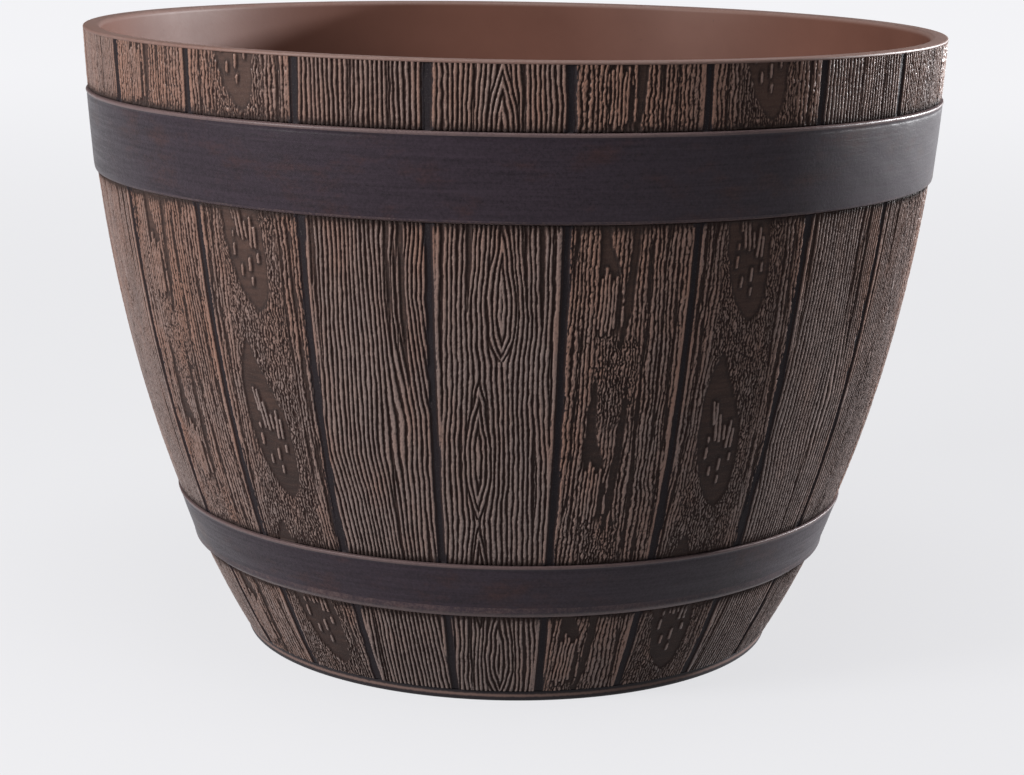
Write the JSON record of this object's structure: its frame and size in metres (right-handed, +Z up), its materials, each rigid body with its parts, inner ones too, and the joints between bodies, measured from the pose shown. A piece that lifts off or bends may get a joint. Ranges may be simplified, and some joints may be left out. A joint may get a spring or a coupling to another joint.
{
  "type": "wood-effect plastic planter",
  "caption": "Half-barrel floor planter in carved wood-effect plastic, with two bands, a smooth rim, a foot and pull-out drain plugs.",
  "frame": {"origin": "on the ground, on the tub's axis", "axes": "+Z up along the tub's axis; the side seen in the picture faces -Y, and +X is to its right"},
  "size_m": [0.3899, 0.3898, 0.281],
  "materials": {
    "tub_plastic": "brown plastic, dark-stained in the carving and rubbed lighter on the grain ridges",
    "band_finish": "satin dark bronze paint with rubbed edges",
    "plug_rubber": "soft matt rubber"
  },
  "bodies": {
    "tub": {"planter_shell": "tub_plastic", "upper_hoop": "band_finish", "lower_hoop": "band_finish"},
    "plug_1": {"drain_plug_1": "plug_rubber"},
    "plug_2": {"drain_plug_2": "plug_rubber"},
    "plug_3": {"drain_plug_3": "plug_rubber"},
    "plug_4": {"drain_plug_4": "plug_rubber"},
    "plug_5": {"drain_plug_5": "plug_rubber"}
  },
  "joints": [
    {"name": "plug_1_pull", "type": "slide", "parent": "tub", "child": "plug_1", "axis": [0, 0, 1], "range_m": [0, 0.03]},
    {"name": "plug_2_pull", "type": "slide", "parent": "tub", "child": "plug_2", "axis": [0, 0, 1], "range_m": [0, 0.03]},
    {"name": "plug_3_pull", "type": "slide", "parent": "tub", "child": "plug_3", "axis": [0, 0, 1], "range_m": [0, 0.03]},
    {"name": "plug_4_pull", "type": "slide", "parent": "tub", "child": "plug_4", "axis": [0, 0, 1], "range_m": [0, 0.03]},
    {"name": "plug_5_pull", "type": "slide", "parent": "tub", "child": "plug_5", "axis": [0, 0, 1], "range_m": [0, 0.03]}
  ]
}
